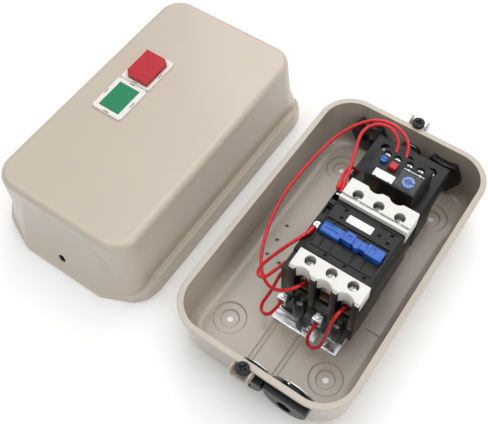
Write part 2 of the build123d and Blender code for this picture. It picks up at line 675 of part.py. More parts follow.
def contactor_label():
    """Blank white label on the contactor's face."""
    with BuildPart() as label:
        block((7.0, -5.0, FACE_Z), (33.0, 3.2, FACE_Z + 0.4))
        fillet(label.edges().filter_by(Axis.Z), 1.0)
    return label


# ---------------------------------------------------------------- overload relay

def relay_housing():
    """Lower relay body: an open box for the heaters and a block for the load terminals."""
    with BuildPart() as housing:
        block((RELAY_X[0], RELAY_Y[0], RELAY_Z[0]), (RELAY_X[1], RELAY_STEP_Y, RELAY_Z[1]))
        block((RELAY_X[0], RELAY_STEP_Y, 40), (RELAY_X[1], RELAY_Y[1], RELAY_Z[1]))
        block((-5, 66, 12), (45, 94, RELAY_Z[1] + 1), Mode.SUBTRACT)
        for x in LOAD_X:
            standing_drum(x, LOAD_Y, 64, RELAY_Z[1] + 1, 4.6, Mode.SUBTRACT)
            drum((x, RELAY_Y[1], 58), 5.0, 16, "Y", Mode.SUBTRACT)
        standing_drum(*SHOULDER_HOLE, 66, RELAY_Z[1] + 1, 2.4, Mode.SUBTRACT)
    return housing


def relay_head():
    """Upper relay body: raised setting panel and a step with the auxiliary terminals."""
    with BuildPart() as head:
        block((HEAD_X[0], HEAD_Y[0], 90), (HEAD_X[1], 80, HEAD_TOP))
        block((HEAD_X[0], RELAY_Y[0], RELAY_Z[1]), (HEAD_X[1], HEAD_Y[1], AUX_TOP))
        standing_drum(*DIAL_AT, HEAD_TOP - 4, HEAD_TOP + 1, DIAL_R + 0.4, Mode.SUBTRACT)
        block((10, 66, HEAD_TOP - 8), (18.4, 74.4, HEAD_TOP + 1), Mode.SUBTRACT)
        standing_drum(2.5, 72.5, HEAD_TOP - 8, HEAD_TOP + 1, 3.7, Mode.SUBTRACT)
        for x in AUX_X:
            standing_drum(x, AUX_Y, AUX_TOP - 6.5, AUX_TOP + 1, 4.2, Mode.SUBTRACT)
        block((-5, RELAY_Y[0] + 4, RELAY_Z[1] - 1), (45, 94, 86), Mode.SUBTRACT)
        for x in STRIPS:
            block((x - 3, RELAY_Y[0] - 1, TAB_Z[0]), (x + 3, 68, TAB_Z[1]), Mode.SUBTRACT)
        for x in WIRE_EXITS:
            drum((x, HEAD_Y[1], 91), 2.4, 8, "Y", Mode.SUBTRACT)
        fillet(head.edges().filter_by(Axis.X).group_by(Axis.Z)[-1], 1.0)
    return head


def relay_tabs():
    """Three copper tabs from the contactor's terminals into the relay, the outer ones offset."""
    low, high = TAB_Z
    with BuildPart() as tabs:
        for x, strip in zip(POLES, STRIPS):
            block((x - 3.6, 17, low), (x + 3.6, 59, high))
            block((min(x, strip) - 3.6, 53, low), (max(x, strip) + 3.6, 59, high))
            block((strip - 3, 53, low), (strip + 3, 74, high))
            standing_drum(x, FAR_SCREW_Y, low - 1, high + 1, 2.7, Mode.SUBTRACT)
    return tabs


def bimetal_strips():
    """Three bimetal strips hanging from the tabs' inner ends."""
    with BuildPart() as strips:
        for x in STRIPS:
            block((x - 3, 72, 24), (x + 3, 73.2, TAB_Z[0]))
    return strips


def heater_windings():
    """Heater wire wound round each bimetal strip, as one sleeve per pole."""
    with BuildPart() as heaters:
        for x in STRIPS:
            block((x - 3.9, 70.6, 30), (x + 3.9, 74.6, 62))
            block((x - 3, 72, 29), (x + 3, 73.2, 63), Mode.SUBTRACT)
    return heaters


def load_screws():
    """Screws of the relay's three load terminals, down their wells."""
    with BuildPart() as screws:
        for x in LOAD_X:
            standing_drum(x, LOAD_Y, 64, 69, 4.3)
            cross_slot(x, LOAD_Y, 69, 6.0, 1.3, 2.0)
    return screws


def relay_label():
    """Blank white label on the relay's panel."""
    with BuildPart() as label:
        block((1.0, 52.5, HEAD_TOP), (22.0, 61.5, HEAD_TOP + 0.4))
        fillet(label.edges().filter_by(Axis.Z), 0.8)
        for x in (3.5, 18.0):
            block((x, 51, HEAD_TOP - 1), (x + 1.6, 53.3, HEAD_TOP + 1), Mode.SUBTRACT)
    return label


def relay_dial():
    """Blue current-setting dial with a screwdriver slot."""
    x, y = DIAL_AT
    with BuildPart() as dial:
        standing_drum(x, y, HEAD_TOP - 4, HEAD_TOP + 1.5, DIAL_R)
        block((x - 5, y - 0.7, HEAD_TOP + 0.3), (x + 5, y + 0.7, HEAD_TOP + 3), Mode.SUBTRACT)
    return dial


def relay_window():
    """Clear flap over the dial, hinged along its far edge."""
    (x0, x1), (y0, y1) = WINDOW_X, WINDOW_Y
    low, top = HEAD_TOP + 0.3, HEAD_TOP + WINDOW_TALL
    with BuildPart() as window:
        block((x0, y0, low), (x1, y1, top))
        block((x0 + 1, y0 + 1, low - 1), (x1 - 1, y1 + 1, top - 1), Mode.SUBTRACT)
        drum((x0 + 1.2, y1 + 1, WINDOW_PIN_Z), 1.1, 2.4, "X")
        drum((x1 - 1.2, y1 + 1, WINDOW_PIN_Z), 1.1, 2.4, "X")
        for x in (x0 + 1.2, x1 - 1.2):
            drum((x, y1 + 1, WINDOW_PIN_Z), 0.62, 4, "X", Mode.SUBTRACT)
    return window


def window_pin():
    """Steel pin that the clear flap turns on, held in two lugs."""
    (x0, x1), y = WINDOW_X, WINDOW_Y[1] + 1
    with BuildPart() as pin:
        drum(((x0 + x1) / 2, y, WINDOW_PIN_Z), 0.58, x1 - x0 + 0.4, "X")
        block((x0 + 3.4, y - 0.7, HEAD_TOP), (x0 + 5.4, y + 0.9, WINDOW_PIN_Z + 0.5))
        block((x1 - 5.4, y - 0.7, HEAD_TOP), (x1 - 3.4, y + 0.9, WINDOW_PIN_Z + 0.5))
    return pin


def relay_stop_button():
    """Red square stop button of the relay."""
    with BuildPart() as button:
        block((10.4, 66.4, HEAD_TOP - 4.5), (18.0, 74.0, HEAD_TOP + 4.0))
        fillet(button.faces().sort_by(Axis.Z)[-1].edges(), 0.8)
    return button


def relay_reset_button():
    """Round blue reset button of the relay."""
    with BuildPart() as button:
        standing_drum(2.5, 72.5, HEAD_TOP - 4.5, HEAD_TOP + 2.5, 3.3)
        block((-1.5, 72.0, HEAD_TOP + 1.3), (6.5, 73.0, HEAD_TOP + 4), Mode.SUBTRACT)
    return button


# ---------------------------------------------------------------- enclosure cover

def nose_outline(level, inset):
    """Outline of one end of the cover at one level, as points in from -x to +x."""
    _, reach, end_half, corner_x, corner_y, side_x = level
    right = [(end_half - 0.4 * inset, reach - inset), (corner_x - inset, corner_y - 0.8 * inset),
             (side_x - inset, corner_y - 12)]
    return [(-x, y) for x, y in reversed(right)] + right


def cover_form(inset):
    """The cover's full outer form, made smaller all round by inset."""
    with BuildPart() as form:
        with BuildSketch(Plane.XY.offset(-inset)):
            RectangleRounded(2 * (COVER_FOOT_X - inset), 2 * (COVER_FOOT_Y - inset), COVER_CORNER - inset)
        with BuildSketch(Plane.XY.offset(COVER_TALL - inset)):
            RectangleRounded(2 * (COVER_TOP_X - inset), 2 * (COVER_TOP_Y - inset), COVER_CORNER - inset)
        loft()
        fillet(form.faces().sort_by(Axis.Z)[-1].edges(), COVER_EDGE - inset)
    with BuildPart() as skirt:
        with BuildSketch(Plane.XY.offset(-inset)) as foot:
            with BuildLine():
                far = nose_outline((0, NOSE_Y, 50.0, 84.0, 152.0, 94.0), inset)
                near = [(-x, -y) for x, y in far]
                side = SKIRT_X - inset
                Polyline((-side, -126), (-side, 126), *far, (side, 126), (side, -126), *near, close=True)
            make_face()
            fillet(foot.vertices(), NOSE_ROUND - 5 - inset)
        extrude(amount=SKIRT_TALL)
        with BuildSketch(Plane.YZ.offset(-SKIRT_X)):
            with BuildLine():
                Polyline((-NOSE_Y, -inset), (-NOSE_Y, NOSE_LIP - inset), (-122, SKIRT_TALL - inset),
                         (122, SKIRT_TALL - inset), (NOSE_Y, NOSE_LIP - inset), (NOSE_Y, -inset), close=True)
            make_face()
        extrude(amount=2 * SKIRT_X, mode=Mode.INTERSECT)
        ridges = skirt.edges().filter_by(Axis.Y).filter_by(lambda e: e.length > 100)
        fillet(ridges.group_by(Axis.Z)[-1], SKIRT_ROUND - inset)
    ends = [[(-level[5] + inset, 110), *nose_outline(level, inset), (level[5] - inset, 110)]
            for level in NOSE_LEVELS]
    with BuildPart() as nose:
        with BuildSketch(Plane.XY.offset(-inset)) as section:
            with BuildLine():
                Polyline(*ends[0], close=True)
            make_face()
            fillet([v for v in section.vertices() if v.Y > 120], NOSE_ROUND - inset)
        extrude(amount=NOSE_LIP)
    with BuildPart() as slope:
        for level, outline in zip(NOSE_LEVELS, ends):
            with BuildSketch(Plane.XY.offset(level[0] - inset)) as section:
                with BuildLine():
                    Polyline(*outline, close=True)
                make_face()
                fillet([v for v in section.vertices() if v.Y > 120], NOSE_ROUND - inset)
        loft()
    with BuildPart() as whole:
        add(form.part)
        add(skirt.part)
        for piece in (nose.part, slope.part):
            add(piece)
            add(piece.rotate(Axis.Z, 180))
    return whole.part


def cover_shell():
    """Drawn steel cover with a stepped skirt and a sloped nose at each end."""
    outer = cover_form(0.0)
    inner = cover_form(SHEET)
    with BuildPart() as shell:
        with Locations((*COVER_AT, 0)):
            add(outer)
            add(inner, mode=Mode.SUBTRACT)
        for side in (-1, 1):
            middle = (COVER_AT[0], COVER_AT[1] + side * LID_HOLE_Y, LID_HOLE_Z)
            with Locations(Plane(origin=middle, z_dir=(0, side, 0.33))):
                Cylinder(LID_HOLE_R, 14, mode=Mode.SUBTRACT)
        for y, (cap_x, cap_y, *_) in ((STOP_Y, STOP_CAP), (START_Y, START_CAP)):
            half_x, half_y = collar_half(cap_x, cap_y)
            block((BUTTON_X - half_x - 0.1, y - half_y - 0.1, COVER_TALL - 4),
                  (BUTTON_X + half_x + 0.1, y + half_y + 0.1, COVER_TALL + 2), Mode.SUBTRACT)
    return shell


def collar_half(cap_x, cap_y):
    """Half sizes of the collar that a button's cap slides in."""
    grow = CAP_GAP + COLLAR_WALL
    return cap_x / 2 + grow, cap_y / 2 + grow


def cap_outline(y, half_x, half_y, cut):
    """Points of a rectangle about the button's axis with two opposite corners cut off."""
    x = BUTTON_X
    return [(x - half_x + cut, y - half_y), (x + half_x, y - half_y),
            (x + half_x, y + half_y - cut), (x + half_x - cut, y + half_y),
            (x - half_x, y + half_y), (x - half_x, y - half_y + cut)]


def button_bezel(y, cap):
    """White frame on the cover, with a collar below it and a floor that guides the rod."""
    cap_x, cap_y, _, cut = cap
    half_x, half_y = collar_half(cap_x, cap_y)
    top = COVER_TALL + BEZEL_THICK
    floor = COVER_TALL - COLLAR_DEEP
    with BuildPart() as bezel:
        corner = (BUTTON_X + BEZEL_X / 2, y + BEZEL_Y / 2, top)
        block((BUTTON_X - BEZEL_X / 2, y - BEZEL_Y / 2, COVER_TALL), corner)
        fillet(bezel.edges().filter_by(Axis.Z), BEZEL_CORNER)
        fillet(bezel.faces().sort_by(Axis.Z)[-1].edges(), 1.2)
        block((BUTTON_X - half_x, y - half_y, floor), (BUTTON_X + half_x, y + half_y, COVER_TALL))
        window = cap_outline(y, cap_x / 2 + CAP_GAP, cap_y / 2 + CAP_GAP, cut + CAP_GAP * 0.59)
        with BuildSketch(Plane.XY.offset(floor + 2)):
            with BuildLine():
                Polyline(*window, close=True)
            make_face()
        extrude(amount=top - floor, mode=Mode.SUBTRACT)
        standing_drum(BUTTON_X, y, floor - 1, floor + 3, ROD_R + 0.08, Mode.SUBTRACT)
        for side in (-1, 1):
            x, edge = BUTTON_X + side * (BEZEL_X / 2 - 1.9), y + side * (BEZEL_Y / 2 - 1.7)
            low, high = (x - 0.6, y - 3.5, top - 2), (x + 0.6, y + 3.5, top + 1)
            block(low, high, Mode.SUBTRACT)
            low, high = (BUTTON_X - 3.5, edge - 0.6, top - 2), (BUTTON_X + 3.5, edge + 0.6, top + 1)
            block(low, high, Mode.SUBTRACT)
    return bezel


def button_cap(y, cap):
    """Coloured cap with the rod below it that reaches the switchgear."""
    cap_x, cap_y, proud, cut = cap
    low = COVER_TALL - COLLAR_DEEP + 2 + SPRING_TALL
    high = COVER_TALL + BEZEL_THICK + proud
    with BuildPart() as button:
        with BuildSketch(Plane.XY.offset(low)):
            with BuildLine():
                Polyline(*cap_outline(y, cap_x / 2, cap_y / 2, cut), close=True)
            make_face()
        extrude(amount=high - low)
        fillet(button.faces().sort_by(Axis.Z)[-1].edges(), 0.5)
        standing_drum(BUTTON_X, y, 64, low, ROD_R)
        drum((BUTTON_X, y, COVER_TALL - COLLAR_DEEP - 1.3), ROD_R + 1, 1.4, "Z", Mode.SUBTRACT)
        drum((BUTTON_X, y, COVER_TALL - COLLAR_DEEP - 1.3), 3.2, 1.4)
    return button


def button_clip(y):
    """Spring clip in the rod's groove, which stops the button from coming out."""
    top = COVER_TALL - COLLAR_DEEP - 0.6
    with BuildPart() as clip:
        tube(BUTTON_X, y, top - 1.4, top, 6.5, 3.2)
    return clip


def button_spring(y):
    """Return spring round the rod."""
    low = COVER_TALL - COLLAR_DEEP + 2
    with BuildPart() as spring:
        tube(BUTTON_X, y, low, low + SPRING_TALL, 6.2, 5.0)
    return spring


# ---------------------------------------------------------------- control wires

WIRES = {
    "wire_relay_to_phase": [
        (15, 95, 91), (14.5, 102, 91.5), (11, 112, 97), (3, 118, 101), (-9, 121, 104),
        (-24, 121, 103), (-38, 115, 99), (-50, 103, 93), (-60, 86, 85), (-67, 62, 76),
        (-71, 36, 69), (-72, 10, 64), (-68, -15, 61), (-61, -38, 60), (-52, -58, 61),
        (-40, -72.5, 61.2), (-27, -80.5, 65), (-15, -83, 76), (-5, -81.5, 86), (1.5, -75, 91),
        (3, -67, 86), (3, -60.5, 79.8)],
    "wire_relay_to_coil": [
        (3, 95, 91), (3, 102, 91.5), (1, 109, 96), (-5, 114, 101), (-15, 117, 104),
        (-27, 114, 103), (-35, 106, 100), (-36, 95, 97), (-31, 80, 96), (-26, 64, 97),
        (-21, 48, 100), (-17, 34, 103.9), (-15.5, 24.6, 103.9)],
    "wire_coil_to_shoulder": [
        (-19.4, 25, 104.4), (-21.8, 36, 102.8), (-25.2, 47, 98), (-27.2, 57, 92),
        (-26.4, 65, 86.5), (-22.8, 69.5, 80), (-22.6, 70, 70.5)],
    "wire_coil_to_side": [
        (-15.5, -21, 104.4), (-17, -30, 104.4), (-21.5, -40, 103.4), (-28.5, -50, 96.5),
        (-35, -58, 86.5), (-40.5, -65, 78), (-43.5, -71, 71.5), (-43, -76, 67.8), (-38.5, -77.5, 66.8),
        (-33.5, -74.5, 69.3), (-27, -64.5, 78.5), (-23, -58.5, 84), (-17.7, -56, 86)],
    "wire_side_to_clamp": [
        (-17.7, -61.5, 80), (-22.5, -64, 75.5), (-25, -69, 64), (-26.5, -75, 51),
        (-29.5, -81.5, 39), (-31.5, -87.5, 31), (-28.5, -92, 26.5), (-22, -92.5, 27.5),
        (-17, -88.5, 33.5), (-14, -79.1, 43)],
    "wire_phase_to_clamp": [
        (47, -60.5, 79.8), (46.5, -67, 85), (44.8, -75, 90), (43.4, -81, 83), (42, -84, 70),
        (41, -85.5, 56), (40.2, -87, 43), (38.8, -88, 32), (36.6, -91, 23.5), (32.2, -93, 18.2), (27, -93, 18), (23.6, -91, 23.2),
        (23, -87.5, 32), (25.5, -79.1, 43)],
}


def corner_radii(points):
    """The largest arc that each corner of a route has room for."""
    radii = []
    for before, corner, after in zip(points, points[1:], points[2:]):
        first, second = Vector(*corner) - Vector(*before), Vector(*after) - Vector(*corner)
        half_turn = radians(first.get_angle(second)) / 2
        radii.append(0.45 * min(first.length, second.length) / tan(half_turn))
    return radii


def wire(name):
    """One insulated wire, swept along straight runs joined by tangent arcs."""
    points = WIRES[name]
    radii = corner_radii(points)
    with BuildPart() as run:
        with BuildLine():
            route = FilletPolyline(*points, radius=radii)
        with BuildSketch(Plane(origin=route @ 0, z_dir=route % 0)):
            Circle(WIRE_R)
        sweep()
    expected = pi * WIRE_R ** 2 * route.length
    print(f"{name}: length {route.length:.0f} smallest radius {min(radii):.1f}",
          f"volume ratio {run.part.volume / expected:.3f}")
    return run


# ---------------------------------------------------------------- write every piece

pieces = {
    "tray_shell": tray_shell(),
    "lid_brackets": lid_brackets(),
    "lid_screws": lid_screws(),
    "seal_plates": seal_plates(),
    "contactor_base_plate": base_plate(),
    "contactor_rail_clip": rail_clip(),
    "contactor_plate_screws": plate_screws(),
    "contactor_lower_housing": lower_housing(),
    "contactor_boss_screws": boss_screws(),
    "contactor_clamp_terminals": clamp_terminals(),
    "fixed_core": fixed_core(),
    "shading_rings": shading_rings(),
    "coil_bobbin": coil_bobbin(),
    "coil_winding": coil_winding(),
    "return_springs": return_springs(),
    "armature": armature(),
    "contact_carrier": contact_carrier(),
    "contact_bridges": contact_bridges(),
    "contact_springs": contact_springs(),
    "near_terminal_bars": terminal_bars(-68.0, -1),
    "far_terminal_bars": terminal_bars(34.0, 1),
    "terminal_cages": terminal_cages(),
    "contactor_power_screws": power_screws(),
    "contactor_upper_housing": upper_housing(),
    "small_terminal_screws": small_terminal_screws(),
    "near_terminal_cover": near_terminal_cover(),
    "far_terminal_cover": far_terminal_cover(),
    "contactor_label": contactor_label(),
    "relay_housing": relay_housing(),
    "relay_head": relay_head(),
    "relay_tabs": relay_tabs(),
    "relay_bimetal_strips": bimetal_strips(),
    "relay_heater_windings": heater_windings(),
    "relay_load_screws": load_screws(),
    "relay_label": relay_label(),
    "relay_dial": relay_dial(),
    "relay_window": relay_window(),
    "relay_window_pin": window_pin(),
    "relay_stop_button": relay_stop_button(),
    "relay_reset_button": relay_reset_button(),
    "cover_shell": cover_shell(),
    "stop_bezel": button_bezel(STOP_Y, STOP_CAP),
    "start_bezel": button_bezel(START_Y, START_CAP),
    "stop_cap": button_cap(STOP_Y, STOP_CAP),
    "start_cap": button_cap(START_Y, START_CAP),
    "stop_clip": button_clip(STOP_Y),
    "start_clip": button_clip(START_Y),
    "stop_spring": button_spring(STOP_Y),
    "start_spring": button_spring(START_Y),
}
for seal_name in NEAR_SEALS:
    pieces[seal_name] = near_seal(seal_name)
for seal_name in FAR_SEALS:
    pieces[seal_name] = far_seal(seal_name)
for wire_name in WIRES:
    pieces[wire_name] = wire(wire_name)

for name, piece in pieces.items():
    piece.part.label = name
    export_step(piece.part, f"parts/{name}.step")
print(len(pieces), "pieces")
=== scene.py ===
import json
import math

import bmesh
import bpy
from mathutils import Matrix, Vector


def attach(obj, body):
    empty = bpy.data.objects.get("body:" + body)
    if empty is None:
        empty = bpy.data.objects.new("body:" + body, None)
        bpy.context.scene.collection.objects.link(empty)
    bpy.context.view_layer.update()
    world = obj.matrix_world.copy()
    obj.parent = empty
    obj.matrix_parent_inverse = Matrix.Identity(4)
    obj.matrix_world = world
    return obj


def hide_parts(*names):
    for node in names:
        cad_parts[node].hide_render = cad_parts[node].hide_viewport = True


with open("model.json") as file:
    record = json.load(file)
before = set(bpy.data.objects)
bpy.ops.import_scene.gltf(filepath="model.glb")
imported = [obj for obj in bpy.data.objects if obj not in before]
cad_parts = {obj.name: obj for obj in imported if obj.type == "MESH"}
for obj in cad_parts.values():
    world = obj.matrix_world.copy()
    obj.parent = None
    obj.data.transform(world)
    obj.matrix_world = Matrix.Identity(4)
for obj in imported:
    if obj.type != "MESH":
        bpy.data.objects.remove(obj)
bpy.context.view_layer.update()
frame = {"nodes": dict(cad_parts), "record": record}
NODES = frame["nodes"]
SLOT_OF = {part["node"]: part["material_slot"] for part in frame["record"]["subparts"]}
BODY_OF = {node: body for body, nodes in frame["record"]["behaviour"]["bodies"].items()
           for node in nodes}

# Lengths are in millimetres where no other unit is named, and MM turns them into metres
MM = 0.001

# Camera: the eye point, and the angles in degrees
EYE = (143.3, -317.4, 703.2)
AZIMUTH = 35.19
ELEVATION = 59.17
ROLL = -1.13
LENS = 54.92
SENSOR_WIDTH = 36.0
SHIFT = (-0.0532, -0.0143)
CLIP_START_M = 0.01

# Light panels: place and size in metres, and power in watts
LIGHTS = {
    "top": ((-0.1, 0.35, 2.1), (2.0, 2.0), 22),
    "back": ((-0.5, 1.5, 1.4), (1.6, 0.9), 9),
    "key": ((-1.1, -0.6, 1.5), (1.0, 1.0), 3.5),
    "fill": ((1.3, -0.2, 1.1), (0.9, 1.4), 7.5),
}
LIGHT_AIM_M = (-0.1, 0.0, 0.05)
WORLD_STRENGTH = 0.52

FLOOR_REACH_M = 6.0
FLOOR_COLOUR = (0.96, 0.96, 0.96)

# CAD nodes with moulded or pressed edges, and how far each edge is rounded over
SOFT_EDGES = {
    "contactor_upper_housing": 0.45, "contactor_lower_housing": 0.45, "near_terminal_cover": 0.35,
    "far_terminal_cover": 0.4, "relay_housing": 0.5, "relay_head": 0.4, "contact_carrier": 0.35,
    "contactor_base_plate": 0.35, "contactor_rail_clip": 0.25, "contactor_clamp_terminals": 0.25,
    "small_terminal_screws": 0.2, "contactor_power_screws": 0.25, "relay_load_screws": 0.2,
    "contactor_boss_screws": 0.2, "contactor_plate_screws": 0.25, "lid_brackets": 0.3,
    "lid_screws": 0.25, "terminal_cages": 0.3, "stop_bezel": 0.25, "start_bezel": 0.25,
    "seal_plates": 0.2, "grommet_far_left": 0.8, "grommet_far_middle": 0.7,
    "grommet_far_right": 0.8, "relay_window": 0.2, "relay_dial": 0.2,
}
MERGE_DISTANCE_M = 2e-6
FLAT_ANGLE = 0.5
EDGE_ANGLE = 35
EDGE_SEGMENTS = 2

# The middle line of each control wire, as the control points of one smooth curve
WIRE_D = 3.4
WIRES = {
    "wire_relay_to_phase": [
        (15, 95, 91), (14.5, 102, 91.5), (11, 112, 97), (3, 118, 101), (-9, 121, 104),
        (-24, 121, 103), (-38, 115, 99), (-50, 103, 93), (-60, 86, 85), (-67, 62, 76),
        (-71, 36, 69), (-72, 10, 64), (-68, -15, 61), (-61, -38, 60), (-52, -58, 61),
        (-40, -72.5, 61.2), (-27, -80.5, 65), (-15, -83, 76), (-5, -81.5, 86), (1.5, -75, 91),
        (3, -67, 86), (3, -60.5, 79.8)],
    "wire_relay_to_coil": [
        (3, 95, 91), (3, 102, 91.5), (1, 109, 96), (-5, 114, 101), (-15, 117, 104),
        (-27, 114, 103), (-35, 106, 100), (-36, 95, 97), (-31, 80, 96), (-26, 64, 97),
        (-21, 48, 100), (-17, 34, 103.9), (-15.5, 24.6, 103.9)],
    "wire_coil_to_shoulder": [
        (-19.4, 25, 104.4), (-21.8, 36, 102.8), (-25.2, 47, 98), (-27.2, 57, 92),
        (-26.4, 65, 86.5), (-22.8, 69.5, 80), (-22.6, 70, 70.5)],
    "wire_coil_to_side": [
        (-15.5, -21, 104.4), (-17, -30, 104.4), (-21.5, -40, 103.4), (-28.5, -50, 96.5),
        (-35, -58, 86.5), (-40.5, -65, 78), (-43.5, -71, 71.5), (-43, -76, 67.8),
        (-38.5, -77.5, 66.8), (-33.5, -74.5, 69.3), (-27, -64.5, 78.5), (-23, -58.5, 84),
        (-17.7, -56, 86)],
    "wire_side_to_clamp": [
        (-17.7, -61.5, 80), (-22.5, -64, 75.5), (-25, -69, 64), (-26.5, -75, 51),
        (-29.5, -81.5, 39), (-31.5, -87.5, 31), (-28.5, -92, 26.5), (-22, -92.5, 27.5),
        (-17, -88.5, 33.5), (-14, -79.1, 43)],
    "wire_phase_to_clamp": [
        (47, -60.5, 79.8), (46.5, -67, 85), (44.8, -75, 90), (43.4, -81, 83), (42, -84, 70),
        (41, -85.5, 56), (40.2, -87, 43), (38.8, -88, 32), (36.6, -91, 23.5), (32.2, -93, 18.2),
        (27, -93, 18), (23.6, -91, 23.2), (23, -87.5, 32), (25.5, -79.1, 43)],
}
CURVE_ORDER = 3
CURVE_STEPS = 10
SECTION_STEPS = 5

# End sleeves pushed over the wires: the two ends of each, on its wire's middle line
SLEEVES = {
    "coil_near": ((-15.6, -22.5, 104.4), (-17.4, -32.5, 104.3)),
    "coil_far": ((-15.7, 26.5, 103.9), (-17.4, 35.5, 103.4)),
    "shoulder_far": ((-19.6, 26.0, 104.3), (-21.8, 36.0, 102.9)),
    "side_upper": ((-18.0, -56.2, 85.8), (-24.0, -59.6, 83.0)),
    "side_lower": ((-18.2, -61.8, 79.5), (-22.6, -64.1, 75.2)),
}
# Each ring of a sleeve: its share of the way along, and its radius
SLEEVE_RINGS = ((0.0, 1.75), (0.0, 2.15), (0.08, 2.3), (0.85, 2.3), (1.0, 2.05), (1.0, 1.75))
SLEEVE_SIDES = 20

# Scale marks of the setting dial: their angles in degrees, how far their middles are from the
# dial's axis and above its top, and their size
DIAL_AXIS = (34.5, 62.5)
DIAL_TOP = 114.5
MARK_COUNT = 14
MARK_START = 25
MARK_STEP = 24
MARK_REACH = 5.0
MARK_LIFT = 0.005
MARK_SIZE = (1.8, 0.6, 0.11)

# Painted shade in the slots of both button frames, as dark boxes at the slots' bottoms: the
# middles of the frames, how far the slots are from them along X and along Y, and each dark box's
# depth below the frame's top and size
FRAME_MIDDLES = ((-268.5, 44.7), (-268.5, -1.7))
FRAME_TOP = 97.0
SLOT_AWAY_X = 17.35
SLOT_AWAY_Y = 21.3
SHADE_DEPTH = 1.65
SHADE_WIDTH = 1.1
SHADE_LENGTH = 6.9
SHADE_HEIGHT = 0.5

# The corners of a unit box round its middle, and the corners of each of its faces
BOX_CORNERS = [(x, y, z) for z in (-0.5, 0.5)
               for x, y in ((-0.5, -0.5), (0.5, -0.5), (0.5, 0.5), (-0.5, 0.5))]
BOX_FACES = ((3, 2, 1, 0), (4, 5, 6, 7), (0, 1, 5, 4), (1, 2, 6, 5), (2, 3, 7, 6), (3, 0, 4, 7))


# ---------------------------------------------------------------- materials

class Nodes:
    """A small helper that builds one node material."""

    def __init__(self, name):
        self.material = bpy.data.materials.new(name)
        self.material.use_nodes = True
        self.tree = self.material.node_tree
        self.shader = self.tree.nodes["Principled BSDF"]
        self.coords = self.add("ShaderNodeTexCoord").outputs["Object"]

    def add(self, kind, **settings):
        node = self.tree.nodes.new(kind)
        for key, value in settings.items():
            setattr(node, key, value)
        return node

    def link(self, output, target):
        self.tree.links.new(output, target)

    def set(self, **values):
        for key, value in values.items():
            self.shader.inputs[key.replace("_", " ")].default_value = value

    def noise(self, scale, detail=2.0, stretch=None):
        """Noise over the object's own space, in features per metre."""
        source = self.coords
        if stretch:
            mapping = self.add("ShaderNodeMapping")
            mapping.inputs["Scale"].default_value = stretch
            self.link(source, mapping.inputs["Vector"])
            source = mapping.outputs["Vector"]
        texture = self.add("ShaderNodeTexNoise")
        texture.inputs["Scale"].default_value = scale
        texture.inputs["Detail"].default_value = detail
        self.link(source, texture.inputs["Vector"])
        return texture.outputs["Fac"]

    def ramp(self, fac, low, high, start=0.35, end=0.65):
        """A ramp from one value or colour to another."""
        ramp = self.add("ShaderNodeValToRGB")
        for element, value, at in zip(ramp.color_ramp.elements, (low, high), (start, end)):
            element.position = at
            element.color = value if hasattr(value, "__len__") else (value, value, value, 1)
        self.link(fac, ramp.inputs["Fac"])
        return ramp.outputs["Color"]

    def colour(self, rgb, spread, scale):
        """Base colour with a faint uneven tone."""
        low = [c * (1 - spread) for c in rgb] + [1]
        high = [min(c * (1 + spread), 1) for c in rgb] + [1]
        self.link(self.ramp(self.noise(scale), low, high), self.shader.inputs["Base Color"])

    def roughness(self, low, high, scale, stretch=None):
        """Roughness that wanders between two values."""
        fac = self.noise(scale, detail=3.0, stretch=stretch)
        self.link(self.ramp(fac, low, high), self.shader.inputs["Roughness"])

    def bump(self, fac, strength, distance):
        """A shallow relief, with its distance in metres."""
        bump = self.add("ShaderNodeBump")
        bump.inputs["Strength"].default_value = strength
        bump.inputs["Distance"].default_value = distance
        self.link(fac, bump.inputs["Height"])
        self.link(bump.outputs["Normal"], self.shader.inputs["Normal"])


def paint(name, rgb, low, high):
    """Sprayed enamel on sheet steel, with a fine orange peel."""
    m = Nodes(name)
    m.colour(rgb, spread=0.012, scale=14.0)
    m.roughness(low, high, scale=60.0)
    m.bump(m.noise(260.0, detail=0.0), strength=0.02, distance=0.0003)
    m.set(Coat_Weight=0.35, Coat_Roughness=0.14)
    return m.material


def plastic(name, rgb, low, high, grain, spread, specular=0.5):
    """Moulded plastic with a spark-eroded grain."""
    m = Nodes(name)
    m.colour(rgb, spread, scale=160.0)
    m.roughness(low, high, scale=700.0)
    m.bump(m.noise(5200.0), strength=grain, distance=0.0002)
    m.set(Specular_IOR_Level=specular)
    return m.material


def metal(name, rgb, low, high, spread, stretch=None):
    """Plated or bare metal with a cloudy finish."""
    m = Nodes(name)
    m.colour(rgb, spread, scale=130.0)
    m.roughness(low, high, scale=220.0, stretch=stretch)
    m.bump(m.noise(900.0, detail=0.0, stretch=stretch), strength=0.03, distance=0.0001)
    m.set(Metallic=1.0)
    return m.material


def clear(name, rgb, low, high):
    """Clear moulded plastic."""
    m = Nodes(name)
    m.colour(rgb, spread=0.02, scale=60.0)
    m.roughness(low, high, scale=300.0)
    m.set(Alpha=0.08, IOR=1.49)
    return m.material


def windings(name, rgb, low, high):
    """Fine wire wound in level layers round a former."""
    m = Nodes(name)
    wave = m.add("ShaderNodeTexWave", bands_direction="Z")
    wave.inputs["Scale"].default_value = 380.0
    m.link(m.coords, wave.inputs["Vector"])
    m.colour(rgb, spread=0.12, scale=200.0)
    m.roughness(low, high, scale=400.0)
    m.bump(wave.outputs["Fac"], strength=0.5, distance=0.0003)
    m.set(Metallic=0.8)
    return m.material


